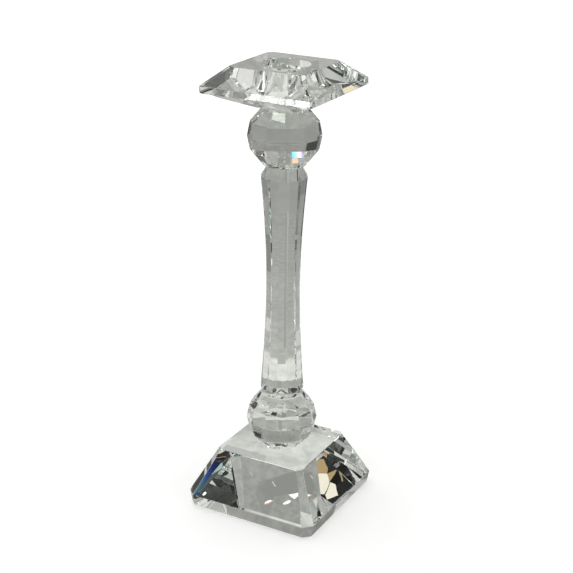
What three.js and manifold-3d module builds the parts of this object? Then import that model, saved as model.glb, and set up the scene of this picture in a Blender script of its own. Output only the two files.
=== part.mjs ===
// Cut-crystal candlestick for one taper candle. Five polished glass pieces stand on one
// another, a base, a ball, a column, a second ball and a candle plate, and a thin film of
// cured clear adhesive bonds each piece to the next.
// Units are millimetres, +Z is up, and the origin is the middle of the underside of the base.

import * as THREE from "three";
import { ConvexGeometry } from "three/addons/geometries/ConvexGeometry.js";
import { mergeVertices } from "three/addons/utils/BufferGeometryUtils.js";
import Module from "manifold-3d";

// ---- driving dimensions ----

const SIDES = 12; // facets round each ball and round the column
const FACET_STEP = (2 * Math.PI) / SIDES;
const BOND_THICKNESS = 0.2; // cured adhesive between two glass faces
const BOND_INSET = 0.2; // the adhesive stops this far inside the smaller face
const BOND_SEGMENTS = 48;

// Each level of a square piece is its width, its height above the underside, and how far its
// corners are cut back along the sides.
const BASE_FOOT = { width: 65.6, height: 0, cut: 3.1 };
const BASE_GIRDLE = { width: 68, height: 6, cut: 4.2 };
const BASE_TOP = { width: 45.4, height: 28, cut: 2.1 };

const PLATE_SEAT = { width: 20, height: 0, cut: 1.2 };
const PLATE_GIRDLE_LOW = { width: 55.4, height: 7.8, cut: 1 };
const PLATE_GIRDLE_HIGH = { width: 55.4, height: 10.8, cut: 1 };
const PLATE_TOP = { width: 37.2, height: 18.8, cut: 2.4 };

const SOCKET_DIAMETER = 22.6; // takes a 22 mm taper candle
const SOCKET_DEPTH = 15;
const SOCKET_RIM = 0.4; // bevel at the mouth of the socket
const SOCKET_SEGMENTS = 96;

// The radii of a ball are measured to the middles of its facets.
const BALL_HEIGHT = 26.4; // between the two flats that the neighbours are bonded to
const BALL_EQUATOR_RADIUS = 16.3;
const BALL_BELT_RADIUS = 15;
const BALL_BELT_HEIGHT = 6.6; // of the line between belt and crown, from the equator
const BALL_FLAT_RADIUS = 9.7;

// The radii of the column are measured to the middles of its facets too. The bevel at its foot
// is a steep cone, and the one at its head is a ring of flat facets.
const COLUMN_LENGTH = 112.8;
const COLUMN_FOOT_END = 9.1;
const COLUMN_FOOT_RADIUS = 10.2;
const COLUMN_FOOT_BEVEL = 3;
const COLUMN_WAIST_RADIUS = 7.8;
const COLUMN_HEAD_RADIUS = 10.5;
const COLUMN_HEAD_BEVEL = 5.4;
const COLUMN_HEAD_END = 7.3;
const COLUMN_WAIST_STEPS = 9; // flat steps in each half of the hollow-ground facets
const CONE_SEGMENTS = 96;

// ---- solids ----

const wasm = await Module();
wasm.setup();

// A solid for joining and cutting, from a closed geometry.
function toSolid(geometry) {
  const bare = geometry.clone();
  bare.deleteAttribute("normal");
  bare.deleteAttribute("uv");
  const merged = mergeVertices(bare);
  const vertProperties = new Float32Array(merged.attributes.position.array);
  const triVerts = new Uint32Array(merged.index.array);
  return new wasm.Manifold(new wasm.Mesh({ numProp: 3, vertProperties, triVerts }));
}

// A geometry again, from a solid.
function toGeometry(solid) {
  const mesh = solid.getMesh();
  const geometry = new THREE.BufferGeometry();
  geometry.setAttribute("position", new THREE.BufferAttribute(mesh.vertProperties, 3));
  geometry.setIndex(new THREE.BufferAttribute(mesh.triVerts, 1));
  return geometry;
}

// A body turned about Z from half a profile that starts and ends on the axis. LatheGeometry
// turns about Y, so it is stood up afterwards.
function turned(profile, segments, startAngle = 0) {
  const points = profile.map(([radius, height]) => new THREE.Vector2(radius, height));
  const geometry = new THREE.LatheGeometry(points, segments, startAngle);
  geometry.rotateX(Math.PI / 2);
  return geometry;
}

// ---- square pieces with cut corners ----

// The eight corners of a square level whose four corners are cut off.
function levelCorners({ width, height, cut }) {
  const side = width / 2;
  const near = side - cut;
  const corners = [];
  for (const x of [-1, 1]) {
    for (const y of [-1, 1]) {
      corners.push(new THREE.Vector3(x * side, y * near, height));
      corners.push(new THREE.Vector3(x * near, y * side, height));
    }
  }
  return corners;
}

function squareCut(levels) {
  return new ConvexGeometry(levels.flatMap(levelCorners));
}

// The candle socket is a straight drilled hole with a flat floor and a bevelled mouth.
function socketCutter() {
  const radius = SOCKET_DIAMETER / 2;
  const mouth = PLATE_TOP.height;
  const floor = mouth - SOCKET_DEPTH;
  const clear = 1; // how far the cutter stands above the top face
  const profile = [
    [0, floor],
    [radius, floor],
    [radius, mouth - SOCKET_RIM],
    [radius + SOCKET_RIM + clear, mouth + clear],
    [0, mouth + clear],
  ];
  return toSolid(turned(profile, SOCKET_SEGMENTS));
}

function baseGeometry() {
  return squareCut([BASE_FOOT, BASE_GIRDLE, BASE_TOP]);
}

function plateGeometry() {
  const blank = toSolid(squareCut([PLATE_SEAT, PLATE_GIRDLE_LOW, PLATE_GIRDLE_HIGH, PLATE_TOP]));
  return toGeometry(blank.subtract(socketCutter()));
}

// ---- faceted balls ----

// From the middle of a facet to its edge, for radii of twelve-sided pieces.
const TO_EDGE = 1 / Math.cos(FACET_STEP / 2);

// Twelve-sided facets in rows: a belt above and below the equator, and a crown outside each
// belt. The rows stand in line, with an edge on the X axis.
function ballGeometry() {
  const flat = BALL_HEIGHT / 2;
  const profile = [
    [0, -flat],
    [BALL_FLAT_RADIUS, -flat],
    [BALL_BELT_RADIUS, -BALL_BELT_HEIGHT],
    [BALL_EQUATOR_RADIUS, 0],
    [BALL_BELT_RADIUS, BALL_BELT_HEIGHT],
    [BALL_FLAT_RADIUS, flat],
    [0, flat],
  ];
  const edges = profile.map(([radius, height]) => [radius * TO_EDGE, height + flat]);
  return turned(edges, SIDES);
}

// ---- column ----

// Half of the hollow-ground stretch, as radii and heights from the waist to one shoulder: the
// facets leave the waist upright and lean outwards more and more.
function waistCurve(waistHeight, shoulderRadius, shoulderHeight) {
  const curve = new THREE.QuadraticBezierCurve(
    new THREE.Vector2(COLUMN_WAIST_RADIUS, waistHeight),
    new THREE.Vector2(COLUMN_WAIST_RADIUS, waistHeight + (shoulderHeight - waistHeight) * 0.45),
    new THREE.Vector2(shoulderRadius, shoulderHeight),
  );
  return curve.getPoints(COLUMN_WAIST_STEPS).map((point) => [point.x, point.y]);
}

// The cone that the column's foot is ground to. Above the foot it is clear of the column.
function footCone() {
  const slope = (COLUMN_FOOT_RADIUS - COLUMN_FOOT_END) / COLUMN_FOOT_BEVEL;
  const profile = [
    [0, 0],
    [COLUMN_FOOT_END, 0],
    [COLUMN_FOOT_END + slope * COLUMN_LENGTH, COLUMN_LENGTH],
    [0, COLUMN_LENGTH],
  ];
  return toSolid(turned(profile, CONE_SEGMENTS));
}

function columnGeometry() {
  const waist = COLUMN_LENGTH / 2;
  const foot = COLUMN_FOOT_BEVEL;
  const head = COLUMN_LENGTH - COLUMN_HEAD_BEVEL;
  const lower = waistCurve(waist, COLUMN_FOOT_RADIUS, foot).reverse();
  const upper = waistCurve(waist, COLUMN_HEAD_RADIUS, head).slice(1);
  const faces = [
    [0, 0],
    [COLUMN_FOOT_RADIUS, 0],
    ...lower,
    ...upper,
    [COLUMN_HEAD_END, COLUMN_LENGTH],
    [0, COLUMN_LENGTH],
  ];
  const profile = faces.map(([radius, height]) => [radius * TO_EDGE, height]);
  const blank = toSolid(turned(profile, SIDES, FACET_STEP / 2));
  return toGeometry(blank.intersect(footCone()));
}

// ---- adhesive ----

function bondGeometry(faceRadius) {
  const radius = faceRadius - BOND_INSET;
  const profile = [
    [0, 0],
    [radius, 0],
    [radius, BOND_THICKNESS],
    [0, BOND_THICKNESS],
  ];
  return turned(profile, BOND_SEGMENTS);
}

// ---- finishes ----

function crystal() {
  return new THREE.MeshStandardMaterial({ color: 0xdfe4e0, roughness: 0.02, metalness: 0 });
}

function adhesive() {
  return new THREE.MeshStandardMaterial({ color: 0xe8e9e2, roughness: 0.08, metalness: 0 });
}

// ---- assembly, from the table up ----

const STACK = [
  { name: "base_block", height: BASE_TOP.height, geometry: baseGeometry(), finish: crystal },
  { name: "bond_base_to_ball", geometry: bondGeometry(BALL_FLAT_RADIUS), finish: adhesive },
  { name: "lower_ball", height: BALL_HEIGHT, geometry: ballGeometry(), finish: crystal },
  { name: "bond_ball_to_column", geometry: bondGeometry(COLUMN_FOOT_END), finish: adhesive },
  { name: "column", height: COLUMN_LENGTH, geometry: columnGeometry(), finish: crystal },
  { name: "bond_column_to_ball", geometry: bondGeometry(COLUMN_HEAD_END), finish: adhesive },
  { name: "upper_ball", height: BALL_HEIGHT, geometry: ballGeometry(), finish: crystal },
  { name: "bond_ball_to_plate", geometry: bondGeometry(BALL_FLAT_RADIUS), finish: adhesive },
  { name: "candle_plate", height: PLATE_TOP.height, geometry: plateGeometry(), finish: crystal },
];

const candlestick = new THREE.Group();
let level = 0;
for (const { name, height = BOND_THICKNESS, geometry, finish } of STACK) {
  const piece = new THREE.Mesh(geometry, finish());
  piece.name = name;
  piece.position.z = level;
  candlestick.add(piece);
  level += height;
}

export default candlestick;
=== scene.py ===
"""Looks for the cut-crystal candlestick: five polished glass pieces bonded face to face, on a
pale table in a soft studio. Lengths are in metres, in the frame of the CAD model."""

import math

import bmesh
import bpy
from mathutils import Matrix, Vector


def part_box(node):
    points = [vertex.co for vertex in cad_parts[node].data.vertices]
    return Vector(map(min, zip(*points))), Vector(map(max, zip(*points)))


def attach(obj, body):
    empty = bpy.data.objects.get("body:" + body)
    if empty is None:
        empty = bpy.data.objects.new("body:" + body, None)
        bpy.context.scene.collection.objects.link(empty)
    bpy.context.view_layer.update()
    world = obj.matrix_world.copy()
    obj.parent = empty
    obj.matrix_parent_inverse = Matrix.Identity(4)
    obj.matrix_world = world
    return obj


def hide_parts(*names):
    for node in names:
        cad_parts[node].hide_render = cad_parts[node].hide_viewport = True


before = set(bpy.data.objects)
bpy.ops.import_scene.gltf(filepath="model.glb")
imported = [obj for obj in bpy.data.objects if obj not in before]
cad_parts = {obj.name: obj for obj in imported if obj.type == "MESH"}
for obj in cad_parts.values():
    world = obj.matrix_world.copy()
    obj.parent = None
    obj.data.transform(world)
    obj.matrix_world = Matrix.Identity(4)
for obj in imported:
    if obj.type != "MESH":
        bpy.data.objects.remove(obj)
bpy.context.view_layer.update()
scene = bpy.context.scene

# ---- camera ----

CAMERA_AZIMUTH = math.radians(28.8)  # from -Y towards +X
CAMERA_REACH = 0.573  # level distance from the candlestick's axis
CAMERA_HEIGHT = 0.3356
AIM_HEIGHT = 0.1085  # the point on the axis that the camera looks at
CAMERA_ROLL = math.radians(0.63)
LENS = 83.3  # focal length in millimetres
SHIFT = 0.006  # of the frame's width

# ---- glass ----

GLASS_IOR = 1.52

# How wide the polished bevel along each edge is.
BEVELS = {"base_block": 0.00015, "candle_plate": 0.00015, "column": 0.0001}
BALL_BEVEL = 0.0001

SHARP = math.radians(6)  # facets meet at more than this, the steps inside one facet at less
FLAT = math.radians(0.05)  # the triangles of one flat face meet at less than this
DISC_POINTS = 96  # corners of a disc where glass meets adhesive
SAME = 1e-6  # points closer than this are one point
TOUCHING = 1e-5  # faces closer than this touch

# The adhesive's rim draws in between the two faces, by a share of the meniscus at each share of
# the film's height.
MENISCUS = 0.00006
RIM = [(0.0, 0.0), (0.3, 0.8), (0.5, 1.0), (0.7, 0.8), (1.0, 0.0)]

BOUNCES = 64  # how many faces of the glass a ray may meet


def add_camera():
    data = bpy.data.cameras.new("camera")
    data.lens = LENS
    data.shift_x = SHIFT
    camera = bpy.data.objects.new("camera", data)
    scene.collection.objects.link(camera)
    camera.location = (
        CAMERA_REACH * math.sin(CAMERA_AZIMUTH),
        -CAMERA_REACH * math.cos(CAMERA_AZIMUTH),
        CAMERA_HEIGHT,
    )
    away = Vector((0, 0, AIM_HEIGHT)) - camera.location
    turn = away.to_track_quat("-Z", "Y").to_matrix() @ Matrix.Rotation(CAMERA_ROLL, 3, "Z")
    camera.rotation_euler = turn.to_euler()
    scene.camera = camera


# ---- node materials ----


class Graph:
    """A new material's node tree, with short ways to add and join nodes."""

    def __init__(self, name):
        self.material = bpy.data.materials.new(name)
        self.material.use_nodes = True
        self.tree = self.material.node_tree
        self.tree.nodes.clear()
        self.output = self.node("OutputMaterial")

    def node(self, kind, **inputs):
        made = self.tree.nodes.new("ShaderNode" + kind)
        for name, value in inputs.items():
            self.set(made, name.replace("_", " "), value)
        return made

    def set(self, node, name, value):
        if isinstance(value, bpy.types.NodeSocket):
            self.tree.links.new(value, node.inputs[name])
        else:
            node.inputs[name].default_value = value

    def join(self, source, target):
        self.tree.links.new(source, target)

    def lit(self, **inputs):
        """Makes the material glow, seen by the glass but never picked as a lamp."""
        glow = self.node("Emission", **inputs)
        self.join(glow.outputs["Emission"], self.output.inputs["Surface"])
        self.material.cycles.emission_sampling = "NONE"
        return self.material

    def place(self):
        """The point on the object, in the frame of the CAD model."""
        return self.node("TexCoord").outputs["Object"]

    def noise(self, scale, detail=2.0):
        return self.node("TexNoise", Vector=self.place(), Scale=scale, Detail=detail).outputs["Fac"]

    def remap(self, value, low, high, to_low, to_high):
        """Stretches a value between low and high to between to_low and to_high."""
        made = self.node("MapRange", Value=value)
        self.set(made, "From Min", low)
        self.set(made, "From Max", high)
        self.set(made, "To Min", to_low)
        self.set(made, "To Max", to_high)
        return made.outputs["Result"]


def crystal():
    """Polished optical glass. The laps leave its facets very slightly wavy, and it carries the
    last faint smears of a wipe."""
    g = Graph("crystal")
    wave = g.node("Bump", Height=g.noise(70, 1.0), Strength=1.0, Distance=0.000006)
    smear = g.remap(g.noise(45, 3.0), low=0.5, high=0.8, to_low=0.0, to_high=0.012)
    glass = g.node("BsdfGlass", Color=(0.995, 1.0, 0.997, 1), IOR=GLASS_IOR)
    g.set(glass, "Roughness", smear)
    g.set(glass, "Normal", wave.outputs["Normal"])
    g.join(glass.outputs["BSDF"], g.output.inputs["Surface"])
    return g.material


def adhesive():
    """Clear cured adhesive, seen only at the thin rim of each bond."""
    g = Graph("adhesive")
    ripple = g.node("Bump", Height=g.noise(900, 2.0), Strength=0.4, Distance=0.00002)
    rough = g.remap(g.noise(1500, 2.0), low=0.3, high=0.7, to_low=0.02, to_high=0.12)
    glass = g.node("BsdfGlass", Color=(0.99, 0.99, 0.975, 1), IOR=GLASS_IOR)
    g.set(glass, "Roughness", rough)
    g.set(glass, "Normal", ripple.outputs["Normal"])
    g.join(glass.outputs["BSDF"], g.output.inputs["Surface"])
    return g.material


def contact():
    """Where glass and adhesive meet. Their indices match, so light crosses unbent."""
    g = Graph("contact")
    clear = g.node("BsdfTransparent", Color=(1, 1, 1, 1))
    g.join(clear.outputs["BSDF"], g.output.inputs["Surface"])
    return g.material


def flat_light(name, color, strength=1.0):
    """A glowing surface of one colour."""
    g = Graph(name)
    return g.lit(Color=(*color, 1), Strength=strength)


# ---- glass pieces ----


def faces_at(bm, height):
    return [f for f in bm.faces if all(abs(v.co.z - height) < SAME for v in f.verts)]


def cut_contact(bm, height, radius, up):
    """Cuts a disc into a level face, as its own face with the second material. The rest of the
    face becomes a ring of triangles round it."""
    level = faces_at(bm, height)
    edges = {e for f in level for e in f.edges}
    border = [e for e in edges if sum(f in level for f in e.link_faces) == 1]
    inner = [e for e in edges if e not in border]
    outer = sorted({v for e in border for v in e.verts}, key=lambda v: math.atan2(v.co.y, v.co.x))
    bmesh.ops.delete(bm, geom=level, context="FACES_ONLY")
    bmesh.ops.delete(bm, geom=inner, context="EDGES")
    step = 2 * math.pi / DISC_POINTS
    ring = []
    for i in range(DISC_POINTS):
        ring.append(bm.verts.new((radius * math.cos(i * step), radius * math.sin(i * step), height)))

    def nearest(a, b):
        along = b.co.xy - a.co.xy
        share = max(0.0, min(1.0, -a.co.xy.dot(along) / along.length_squared))
        middle = a.co.xy.lerp(b.co.xy, share)
        return round(math.atan2(middle.y, middle.x) / step) % DISC_POINTS

    def face(corners, material=0):
        made = bm.faces.new(corners if up else corners[::-1])
        made.material_index = material

    count = len(outer)
    near = [nearest(v, outer[(i + 1) % count]) for i, v in enumerate(outer)]
    for i, v in enumerate(outer):
        at = near[i - 1]
        while at != near[i]:
            face([v, ring[(at + 1) % DISC_POINTS], ring[at]])
            at = (at + 1) % DISC_POINTS
        face([v, outer[(i + 1) % count], ring[near[i]]])
    face(ring, 1)


def open_mesh(node):
    """The CAD node's mesh with its flat faces whole again."""
    bm = bmesh.new()
    bm.from_mesh(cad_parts[node].data)
    bmesh.ops.remove_doubles(bm, verts=bm.verts, dist=SAME)
    bmesh.ops.dissolve_limit(bm, angle_limit=FLAT, verts=bm.verts, edges=bm.edges)
    return bm


def ease_edges(bm, width):
    """The narrow polished bevel along every edge between two facets."""
    edges = [e for e in bm.edges if len(e.link_faces) == 2 and e.calc_face_angle() > SHARP]
    bmesh.ops.bevel(
        bm, geom=edges, offset=width, offset_type="OFFSET", segments=1, profile=0.5,
        affect="EDGES", clamp_overlap=True, loop_slide=True,
    )


def add_piece(name, node, bm, materials):
    """Makes the visible piece that stands for a node."""
    bmesh.ops.recalc_face_normals(bm, faces=bm.faces)
    mesh = bpy.data.meshes.new(name)
    bm.to_mesh(mesh)
    bm.free()
    for material in materials:
        mesh.materials.append(material)
    for polygon in mesh.polygons:
        polygon.use_smooth = True
    mesh.set_sharp_from_angle(angle=SHARP)
    piece = bpy.data.objects.new(name, mesh)
    scene.collection.objects.link(piece)
    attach(piece, "root")
    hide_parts(node)


def add_glass(node, bonds, materials):
    """A glass piece, with a disc in its face wherever a bond touches it."""
    bm = open_mesh(node)
    ease_edges(bm, BEVELS.get(node, BALL_BEVEL))
    low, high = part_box(node)
    for bond_low, bond_high in bonds:
        radius = (bond_high.x - bond_low.x) / 2
        if abs(bond_low.z - high.z) < TOUCHING:
            cut_contact(bm, high.z, radius, True)
        if abs(bond_high.z - low.z) < TOUCHING:
            cut_contact(bm, low.z, radius, False)
    add_piece(node + "_glass", node, bm, materials)


def add_bond(node, materials):
    """The film of adhesive, with the rim drawn in a little between the faces."""
    low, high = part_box(node)
    radius = (high.x - low.x) / 2
    bm = bmesh.new()
    angles = [2 * math.pi * i / DISC_POINTS for i in range(DISC_POINTS)]
    rings = []
    for share, drawn in RIM:
        r = radius - MENISCUS * drawn
        z = low.z + (high.z - low.z) * share
        rings.append([bm.verts.new((r * math.cos(a), r * math.sin(a), z)) for a in angles])
    for below, above in zip(rings, rings[1:]):
        for i in range(DISC_POINTS):
            j = (i + 1) % DISC_POINTS
            bm.faces.new((below[i], below[j], above[j], above[i]))
    for ring in (rings[0][::-1], rings[-1]):
        bm.faces.new(ring).material_index = 1
    add_piece(node + "_film", node, bm, materials)


def add_candlestick():
    glass, glue, clear = crystal(), adhesive(), contact()
    bond_nodes = [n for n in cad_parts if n.startswith("bond_")]
    bonds = [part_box(n) for n in bond_nodes]
    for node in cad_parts:
        if node in bond_nodes:
            add_bond(node, [glue, clear])
        else:
            add_glass(node, bonds, [glass, clear])


# ---- studio ----

TABLE_GAP = 0.0002  # a sliver of air between the foot and the table
CARD_LEVEL = -TABLE_GAP / 2  # things that lie on the ground
TILE_LEVEL = -TABLE_GAP / 4  # sheets that lie on top of those
TABLE_RADIUS = 1.6  # the flat part of the table
SWEEP = 0.5  # the radius of the curve from the table up to the backdrop
SWEEP_STEPS = 12
BACKDROP_TOP = 1.6
DOME = 2.6  # radius of the wall and the ground that the glass sees
STRIP = 3  # degrees, the width of each flat strip of a turned surface
CARD_STEPS = 6  # flat strips up a card
LAMP_POINTS = 24  # corners of a lamp's outline

SOFT_BOX_SIZE = 1.8
SOFT_BOX_POWER = 9  # watts
SOFT_BOX_PLACE = (-0.5, 0.3, 1.7)
ROOM_COLOR = (0.8, 0.8, 0.79)
ROOM_STRENGTH = 0.3


def grey(value):
    """A grey with a little yellow and green in it, the tint that the glass gives."""
    return (value, value * 1.01, value * 0.95)


def hide_from_camera(obj):
    """Leaves a thing to be seen only in the glass and through it."""
    obj.visible_camera = False
    obj.visible_diffuse = False
    obj.visible_shadow = False


def hide_from_glass(obj):
    """Keeps a thing out of what the glass mirrors and what shows through it."""
    obj.visible_glossy = False
    obj.visible_transmission = False


def stage_mesh(name, verts, faces, material):
    mesh = bpy.data.meshes.new(name)
    mesh.from_pydata(verts, [], faces)
    mesh.materials.append(material)
    obj = bpy.data.objects.new(name, mesh)
    scene.collection.objects.link(obj)
    return obj


def turned_stage(name, profile, material, start=0.0, end=360.0):
    """A surface turned about Z from radii and heights, between two azimuths from +X."""
    count = max(2, round((end - start) / STRIP))
    verts = []
    for i in range(count + 1):
        a = math.radians(start + (end - start) * i / count)
        verts += [(r * math.cos(a), r * math.sin(a), z) for r, z in profile]
    faces = []
    n = len(profile)
    for i in range(count):
        for j in range(n - 1):
            k = i * n + j
            faces.append((k, k + n, k + n + 1, k + 1))
    return stage_mesh(name, verts, faces, material)


def card(name, azimuths, elevations, material, distance):
    """A card hung round the candlestick, between two azimuths from +X and two elevations."""
    low, high = elevations
    rise = [math.radians(low + (high - low) * i / CARD_STEPS) for i in range(CARD_STEPS + 1)]
    profile = [(distance * math.cos(e), distance * math.sin(e)) for e in rise]
    hide_from_camera(turned_stage(name, profile, material, *azimuths))


def add_table():
    """What the camera sees: a pale table that curves up into a pale backdrop."""
    g = Graph("table")
    base = g.remap(g.noise(6, 3.0), low=0.3, high=0.7, to_low=0.86, to_high=0.9)
    tone = g.node("CombineColor")
    for channel in ("Red", "Green", "Blue"):
        g.set(tone, channel, base)
    paint = g.node("BsdfDiffuse", Color=tone.outputs["Color"])
    glow = g.node("Emission", Color=(1, 1, 0.995, 1), Strength=0.4)
    g.material.cycles.emission_sampling = "NONE"
    both = g.node("AddShader")
    g.join(paint.outputs["BSDF"], both.inputs[0])
    g.join(glow.outputs["Emission"], both.inputs[1])
    g.join(both.outputs["Shader"], g.output.inputs["Surface"])
    profile = [(0.0, -TABLE_GAP), (TABLE_RADIUS, -TABLE_GAP)]
    for i in range(1, SWEEP_STEPS + 1):
        a = math.radians(90 * i / SWEEP_STEPS)
        profile.append((TABLE_RADIUS + SWEEP * math.sin(a), SWEEP * (1 - math.cos(a)) - TABLE_GAP))
    profile.append((TABLE_RADIUS + SWEEP, BACKDROP_TOP))
    table = turned_stage("table", profile, g.material)
    for polygon in table.data.polygons:
        polygon.use_smooth = True
    hide_from_glass(table)


# What the glass sees below it, out from the axis: radius and brightness, over the near part of
# the ground and then over the rest. A white sheet lies on a grey table. The darker ring just
# round the foot, from 0.037 to 0.058, is a painted shadow.
NEAR = 0.6
GROUND_NEAR = [
    (0.0, 0.64), (0.033, 0.65), (0.037, 0.44), (0.058, 0.45), (0.066, 0.68), (0.13, 0.74),
    (0.134, 0.44), (0.2, 0.39), (0.34, 0.36), (0.5, 0.35), (0.6, 0.34),
]
GROUND_FAR = [(0.6, 0.34), (0.85, 0.31), (0.95, 0.4), (2.6, 0.38)]

# The clouds on each part: how much lighter and darker they are, and how close together.
NEAR_CLOUDS = (0.12, 130)
FAR_CLOUDS = (0.05, 12)
WALL_CLOUDS = (0.13, 65)

# What it sees above that, by elevation.
WALL = [
    (0, 0.29), (8, 0.31), (16, 0.42), (25, 0.41), (33, 0.33),
    (38, 0.29), (46, 0.6), (60, 0.72), (80, 0.9),
]
WALL_STEP = 3  # degrees, the height of each flat strip of the wall

WHITE = (1.0, 1.0, 0.98)
DARK = (0.012, 0.012, 0.0118)
DIM = (0.03, 0.03, 0.029)

# Dark furniture and bright soft boxes round the walls: name, azimuths from +X, elevations,
# colour, strength and distance.
CARDS = [
    ("front", (262, 345), (10, 55), DARK, 1.0, 2.5),
    ("right", (338, 416), (0, 50), DIM, 1.0, 2.5),
    ("right_near", (416, 435), (17, 31), DIM, 0.4, 2.45),
    ("right_pale", (435, 446), (20, 31), WHITE, 0.66, 2.45),
    ("right_box", (10, 30), (20, 44), WHITE, 2.4, 2.4),
    ("right_slit", (40, 50), (41, 52), WHITE, 2.2, 2.4),
    ("left", (168, 262), (12, 50), DIM, 1.0, 2.5),
    ("left_corner", (236, 262), (5, 50), DARK, 1.2, 2.45),
    ("left_box", (183, 200), (20, 40), WHITE, 2.2, 2.4),
    ("left_slit", (212, 226), (21, 48), WHITE, 2.6, 2.4),
    ("warm", (268, 293), (42, 50), (1.0, 0.86, 0.62), 1.0, 2.4),
    ("top_front", (296, 312), (56, 72), WHITE, 3.0, 2.4),
    ("top_left", (186, 204), (56, 74), WHITE, 2.2, 2.4),
    ("top_gap", (60, 90), (50, 62), DIM, 1.0, 2.4),
    ("top_beam", (100, 120), (54, 66), DIM, 2.0, 2.4),
    ("top_back", (120, 184), (45, 66), WHITE, 1.1, 2.5),
    ("front_low", (326, 338), (3, 10), DIM, 1.0, 2.45),
    ("front_pale", (322, 345), (14, 20), WHITE, 0.3, 2.45),
    ("left_gap", (217, 225), (14, 21), WHITE, 0.4, 2.45),
    ("back_pale", (112, 120), (15, 20), WHITE, 0.58, 2.5),
    ("left_low", (157, 173), (0, 9), DIM, 1.5, 2.5),
    ("violet", (107.4, 109.4), (9.9, 11.9), (0.5, 0.42, 1.0), 0.9, 2.4),
    ("right_pane", (350, 361), (29.5, 35.5), (0.75, 1.0, 0.98), 0.52, 2.42),
    ("right_amber", (37, 45), (20, 25), (1.0, 0.45, 0.1), 0.6, 2.42),
    ("right_dusk", (45, 52.5), (20, 25), (0.8, 1.0, 1.0), 0.12, 2.42),
    ("left_pale", (225, 240), (39.5, 45.5), WHITE, 0.42, 2.42),
    ("front_box", (319, 337), (25, 34), WHITE, 0.75, 2.4),
    ("back_right", (97, 106), (30, 35), WHITE, 0.75, 2.5),
    ("back_left", (171, 180), (20, 25), WHITE, 0.6, 2.45),
    ("band_gap", (56, 70), (46.5, 50.5), WHITE, 1.3, 2.35),
]

# Things lying on the ground, and painted light and shadow on it (shade and shade_left are painted
# shadow near the foot, rim_light a painted pool of light): name, azimuths, radii, colour and strength.
GROUND_CARDS = [
    # painted contact shadow at the front right of the foot
    ("shade", (296, 358), (0.034, 0.062), DARK, 1.8),
    ("mat", (330, 360), (0.3, 0.46), DIM, 0.8),
    ("strip", (330, 352), (0.11, 0.145), DIM, 1.0),
    ("rug", (210, 236), (0.8, 1.5), DIM, 1.0),
    ("rug_front", (266, 300), (0.8, 1.5), DIM, 1.0),
    ("rug_far", (300, 330), (1.5, 2.6), DIM, 1.0),
    ("rug_right", (330, 360), (0.8, 1.5), DIM, 1.2),
    ("rug_back", (30, 60), (0.56, 1.5), DIM, 1.2),
    ("rug_behind", (60, 90), (0.8, 1.5), WHITE, 0.24),
    ("rug_left", (150, 180), (0.82, 1.5), WHITE, 0.22),
    ("rug_side", (180, 210), (0.57, 0.8), DIM, 1.2),
    # painted shadow on the ground near the foot
    ("shade_left", (240, 272), (0.078, 0.102), DARK, 1.5),
    ("under_left", (180, 262), (0.008, 0.031), WHITE, 0.5),
    # painted pool of light on the ground beside the foot
    ("rim_light", (0, 62), (0.0345, 0.06), WHITE, 0.64),
    ("mat_back", (60, 86), (0.32, 0.5), WHITE, 0.22),
    ("tray", (60, 90), (0.165, 0.19), WHITE, 0.62),
    ("tray_left", (150, 180), (0.14, 0.165), WHITE, 0.62),
    ("paper", (0, 30), (0.4, 0.8), WHITE, 0.9),
    ("paper_front", (240, 330), (0.19, 0.33), WHITE, 0.75),
]

# Small cards are hung this far from the foot or the head of the candlestick.
BOARD = 0.7
FOOT = Vector((0, 0, 0.015))
HEAD = Vector((0, 0, 0.18))
IN_FRONT = 0.002  # nearer than the card behind it
BEHIND = 0.004  # farther than the cards in front of it


def board(name, aim, corners, material, facing=FOOT, distance=BOARD):
    """A small flat card that faces a point on the axis and hangs in the direction aim from it,
    an azimuth from +X and an elevation. Its corners are measured across and up from where
    that direction meets it."""
    azimuth, elevation = (math.radians(v) for v in aim)
    out = Vector((math.cos(azimuth), math.sin(azimuth), 0)) * math.cos(elevation)
    out.z = math.sin(elevation)
    across = Vector((-math.sin(azimuth), math.cos(azimuth), 0))
    up = out.cross(across)
    centre = facing + out * distance
    verts = [centre + across * u + up * v for u, v in corners]
    hide_from_camera(stage_mesh(name, verts, [tuple(range(len(verts)))], material))


def oval(centre, half_width, half_height, lean=0.0):
    """The outline of a lamp, leaning by so much of its width."""
    u, v = centre
    outline = []
    for i in range(LAMP_POINTS):
        turn = 2 * math.pi * i / LAMP_POINTS
        along = half_width * math.cos(turn)
        outline.append((u + along, v + half_height * math.sin(turn) + lean * along))
    return outline


def oblong(low, high):
    """The corners of an upright rectangle, from its lower left and upper right ones."""
    return [low, (high[0], low[1]), high, (low[0], high[1])]


# Light spread by an edge of glass, across a card: orange, through brown and blue, to pale.
EDGE_COLORS = [
    (0.0, (0.4, 0.16, 0.03)), (0.1, (0.2, 0.12, 0.04)), (0.18, (0.02, 0.014, 0.008)),
    (0.28, (0.02, 0.02, 0.03)), (0.38, (0.02, 0.03, 0.14)), (0.48, (0.035, 0.1, 0.3)),
    (0.6, (0.09, 0.22, 0.3)), (0.75, (0.2, 0.29, 0.27)), (1.0, (0.29, 0.3, 0.27)),
]
SPARKLE_COLORS = [
    (0.0, (0.1, 0.9, 1.2)), (0.35, (0.6, 1.4, 1.5)), (0.6, (1.5, 1.5, 1.5)), (1.0, (0.7, 0.5, 1.5)),
]

# Where groups of small cards hang: azimuth from +X and elevation.
WINDOW_AIM = (317, 41)
FRINGE_AIM = (40, 17)
LAMP_AIM = (123, 31)
GLINT_AIM = (118, 20)

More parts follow.
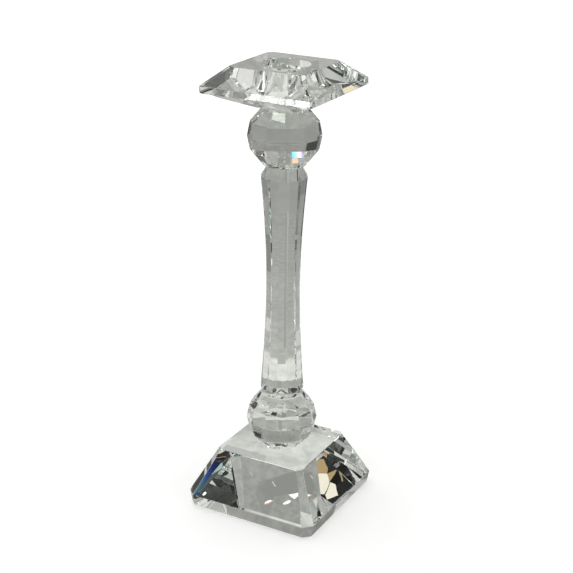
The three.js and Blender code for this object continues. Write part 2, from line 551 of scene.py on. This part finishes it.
# The window's panes and curtains: name, paint and corners.
WINDOW = [
    ("pane_left", "cream", [
        (-0.092, 0.001), (-0.111, -0.0014), (-0.1134, -0.0116), (-0.1072, -0.0231), (-0.092, -0.021),
    ]),
    ("pane_right", "cream", [
        (-0.1143, -0.0116), (-0.1191, -0.0137), (-0.1211, -0.0256), (-0.1091, -0.0287), (-0.108, -0.0239),
    ]),
    ("curtain_left", "tan", [
        (-0.092, 0.0134), (-0.1083, 0.0144), (-0.112, 0.0031), (-0.111, -0.0012), (-0.092, 0.0015),
    ]),
    ("curtain_right", "tan", [
        (-0.1113, -0.0014), (-0.1228, 0.0011), (-0.1172, -0.0067), (-0.1134, -0.0116),
    ]),
    ("cord", "tan", [
        (-0.124, 0.0048), (-0.1256, 0.0052), (-0.129, -0.0108), (-0.1272, -0.0116),
    ]),
]
SHELF = [
    (-0.076, -0.0396), (-0.0341, -0.0289), (-0.0297, -0.0172), (-0.0379, 0.0049),
    (-0.0424, 0.0061), (-0.0496, -0.0135), (-0.0633, -0.0162), (-0.076, -0.0166),
]

# A bright panel on the ground. The plate's front edge mirrors it as a white band.
BAND_CORNERS = [(-0.432, -0.735), (-0.34, -0.735), (-0.34, -0.785), (-0.432, -0.785)]
BAND_STRENGTH = 11.0

# A small bright card. A facet of the upper ball mirrors it as a pale glint.
PALE_GLINT_AIM = (257, 60)
PALE_GLINT_STRENGTH = 30.0


def spectrum(name, stops, axis):
    """A glowing surface whose colour runs through stops along one axis of its box."""
    g = Graph(name)
    along = g.node("SeparateXYZ", Vector=g.node("TexCoord").outputs["Generated"])
    ramp = g.node("ValToRGB", Fac=along.outputs[axis])
    bands = ramp.color_ramp
    for i, (position, color) in enumerate(stops):
        element = bands.elements[i] if i < 2 else bands.elements.new(1.0)
        element.position = position
        element.color = (*color, 1)
    return g.lit(Color=ramp.outputs["Color"])


def tile(name, sideways, reach, material):
    """A small sheet on the ground behind the candlestick, as the camera sees it: how far to the
    right of the axis it starts and ends, and how far behind the axis."""
    right = Vector((math.cos(CAMERA_AZIMUTH), math.sin(CAMERA_AZIMUTH), 0))
    behind = Vector((-math.sin(CAMERA_AZIMUTH), math.cos(CAMERA_AZIMUTH), 0))
    corners = oblong((sideways[0], reach[0]), (sideways[1], reach[1]))
    verts = [right * u + behind * v + Vector((0, 0, TILE_LEVEL)) for u, v in corners]
    hide_from_camera(stage_mesh(name, verts, [(0, 1, 2, 3)], material))


def graded(name, place, stops, span, mottle, scale):
    """A glowing surface with faint clouds. Its brightness follows stops, each a value of place
    and a brightness, and span is the largest value."""
    g = Graph(name)
    ramp = g.node("ValToRGB", Fac=place(g))
    bands = ramp.color_ramp
    for i, (at, value) in enumerate(stops):
        element = bands.elements[i] if i < 2 else bands.elements.new(1.0)
        element.position = at / span
        element.color = (*grey(value), 1)
    cloud = g.remap(g.noise(scale, 4.0), low=0.35, high=0.65, to_low=1 - mottle, to_high=1 + mottle)
    return g.lit(Color=ramp.outputs["Color"], Strength=cloud)


def from_axis(g, span):
    """How far a point on the ground lies from the axis, as a share of span."""
    radius = g.node("VectorMath", Vector=g.place())
    radius.operation = "LENGTH"
    scaled = g.node("Math")
    scaled.operation = "DIVIDE"
    g.join(radius.outputs["Value"], scaled.inputs[0])
    scaled.inputs[1].default_value = span
    return scaled.outputs["Value"]


def rise_on_wall(g):
    """The sine of the elevation of a point on the wall."""
    rise = g.node("SeparateXYZ", Vector=g.place())
    ratio = g.node("Math")
    ratio.operation = "DIVIDE"
    g.join(rise.outputs["Z"], ratio.inputs[0])
    ratio.inputs[1].default_value = DOME
    return ratio.outputs["Value"]


def add_window():
    """A warm window seen through the foot's right face, past dark furniture."""
    paints = {
        "cream": flat_light("cream", (1.0, 0.93, 0.78)),
        "tan": flat_light("tan", (0.48, 0.34, 0.16)),
    }
    for name, paint, corners in WINDOW:
        board(name, WINDOW_AIM, corners, paints[paint])


def add_tiles():
    """Things on the ground that show in the middle of the column: a sheet with a stepped edge low
    down, the grooves that run up from it, and the duller right half of the table."""
    tile("sheet_step", (-0.0085, -0.0028), (0.12, 0.1435), flat_light("sheet", WHITE, 0.74))
    tile("sheet_notch", (-0.0028, 0.0018), (0.1268, 0.14), flat_light("notch", WHITE, 0.42))
    tile("seam", (0.0026, 0.0038), (0.15, 0.6), flat_light("seam", WHITE, 0.44))
    groove = flat_light("groove", grey(0.32))
    tile("groove_left", (0.0008, 0.0022), (0.15, 0.6), groove)
    tile("groove_right", (0.0042, 0.0062), (0.15, 0.6), groove)
    tile("table_right", (0.0064, 0.03), (0.16, 0.6), flat_light("table_right", grey(0.335)))


def add_fringes():
    """The coloured edge seen in the left side of the foot, and a navy patch beside it."""
    edge = oblong((0.03, -0.1), (0.09, -0.035))
    navy = oblong((0.09, 0.028), (0.108, 0.056))
    board("prism_edge", FRINGE_AIM, edge, spectrum("edge_colors", EDGE_COLORS, "X"))
    board("prism_dark", FRINGE_AIM, navy, flat_light("navy", (0.03, 0.07, 0.14)))


def add_lamps():
    """The lamps seen deep in the foot's front face, and the dull shelf behind them."""
    white = flat_light("lamp_white", WHITE, 1.4)
    warm = flat_light("lamp_warm", (1.0, 0.62, 0.4), 0.9)
    faint = flat_light("lamp_faint", WHITE, 0.7)
    left = [(-0.0632, -0.0155), (-0.0735, -0.0167), (-0.0725, -0.0135), (-0.069, -0.0106)]
    low = [(-0.0465, -0.0285), (-0.0475, -0.0285), (-0.0508, -0.0232), (-0.0495, -0.0232)]
    core = oval((-0.0424, -0.0082), 0.0032, 0.001, 0.3)
    board("lamp_1", LAMP_AIM, left, white)
    board("lamp_2", LAMP_AIM, oval((-0.0614, -0.0071), 0.004, 0.0014, 0.38), white)
    board("lamp_3", LAMP_AIM, oval((-0.0428, -0.0078), 0.0046, 0.0014, 0.3), warm)
    board("lamp_3_core", LAMP_AIM, core, white, distance=BOARD - IN_FRONT)
    board("lamp_4", LAMP_AIM, low, faint)
    board("shelf", LAMP_AIM, SHELF, flat_light("shelf", grey(0.3)), distance=BOARD + BEHIND)
    board("lamp_5", (284, 34), oval((0.034, 0.044), 0.0025, 0.0016), white)


def add_glints():
    """The pale glint on the upper ball, and the small coloured ones low on its right."""
    pale = flat_light("glint", (0.93, 1.0, 0.86), PALE_GLINT_STRENGTH)
    colors = spectrum("sparkle_colors", SPARKLE_COLORS, "X")
    ember = flat_light("ember", (1.0, 0.6, 0.4), 1.3)
    board("glint", PALE_GLINT_AIM, oblong((-0.058, 0.19), (-0.03, 0.31)), pale, HEAD)
    board("sparkle", GLINT_AIM, oblong((0.2175, -0.0005), (0.229, 0.0095)), colors, HEAD)
    board("ember", GLINT_AIM, oblong((0.218, -0.038), (0.224, -0.030)), ember, HEAD)


def add_surroundings():
    """What the glass sees: the ground, the wall, and everything that lies on or hangs before
    them."""
    near = graded("ground_near", lambda g: from_axis(g, NEAR), GROUND_NEAR, NEAR, *NEAR_CLOUDS)
    far = graded("ground_far", lambda g: from_axis(g, DOME), GROUND_FAR, DOME, *FAR_CLOUDS)
    hide_from_camera(turned_stage("ground_near", [(0.0, -TABLE_GAP), (NEAR, -TABLE_GAP)], near))
    hide_from_camera(turned_stage("ground_far", [(NEAR, -TABLE_GAP), (DOME, -TABLE_GAP)], far))
    by_height = [(math.sin(math.radians(angle)), value) for angle, value in WALL]
    wall = graded("wall", rise_on_wall, by_height, 1.0, *WALL_CLOUDS)
    arc = [math.radians(angle) for angle in range(0, 90 + WALL_STEP, WALL_STEP)]
    profile = [(DOME * math.cos(e), DOME * math.sin(e)) for e in arc]
    hide_from_camera(turned_stage("wall", profile, wall))
    for name, azimuths, elevations, color, strength, distance in CARDS:
        card(name, azimuths, elevations, flat_light(name, color, strength), distance)
    for name, azimuths, (near_edge, far_edge), color, strength in GROUND_CARDS:
        edges = [(near_edge, CARD_LEVEL), (far_edge, CARD_LEVEL)]
        hide_from_camera(turned_stage(name, edges, flat_light(name, color, strength), *azimuths))
    add_window()
    add_tiles()
    corners = [(x, y, 0.0) for x, y in BAND_CORNERS]
    band = flat_light("band_light", WHITE, BAND_STRENGTH)
    hide_from_camera(stage_mesh("band_light", corners, [(0, 1, 2, 3)], band))
    add_fringes()
    add_lamps()
    add_glints()


def add_light():
    """A soft box that lights only the table."""
    data = bpy.data.lights.new("soft_box", "AREA")
    data.shape = "SQUARE"
    data.size = SOFT_BOX_SIZE
    data.energy = SOFT_BOX_POWER
    lamp = bpy.data.objects.new("soft_box", data)
    lamp.location = SOFT_BOX_PLACE
    lamp.rotation_euler = (Vector((0, 0, 0)) - lamp.location).to_track_quat("-Z", "Y").to_euler()
    scene.collection.objects.link(lamp)
    lamp.visible_camera = False
    hide_from_glass(lamp)


def add_world():
    world = bpy.data.worlds.new("studio")
    scene.world = world
    world.use_nodes = True
    background = world.node_tree.nodes["Background"]
    background.inputs["Color"].default_value = (*ROOM_COLOR, 1)
    background.inputs["Strength"].default_value = ROOM_STRENGTH


scene.view_settings.view_transform = "Standard"
scene.cycles.max_bounces = BOUNCES
scene.cycles.transmission_bounces = BOUNCES
scene.cycles.glossy_bounces = BOUNCES
scene.cycles.transparent_max_bounces = BOUNCES

add_camera()
add_candlestick()
add_table()
add_surroundings()
add_light()
add_world()
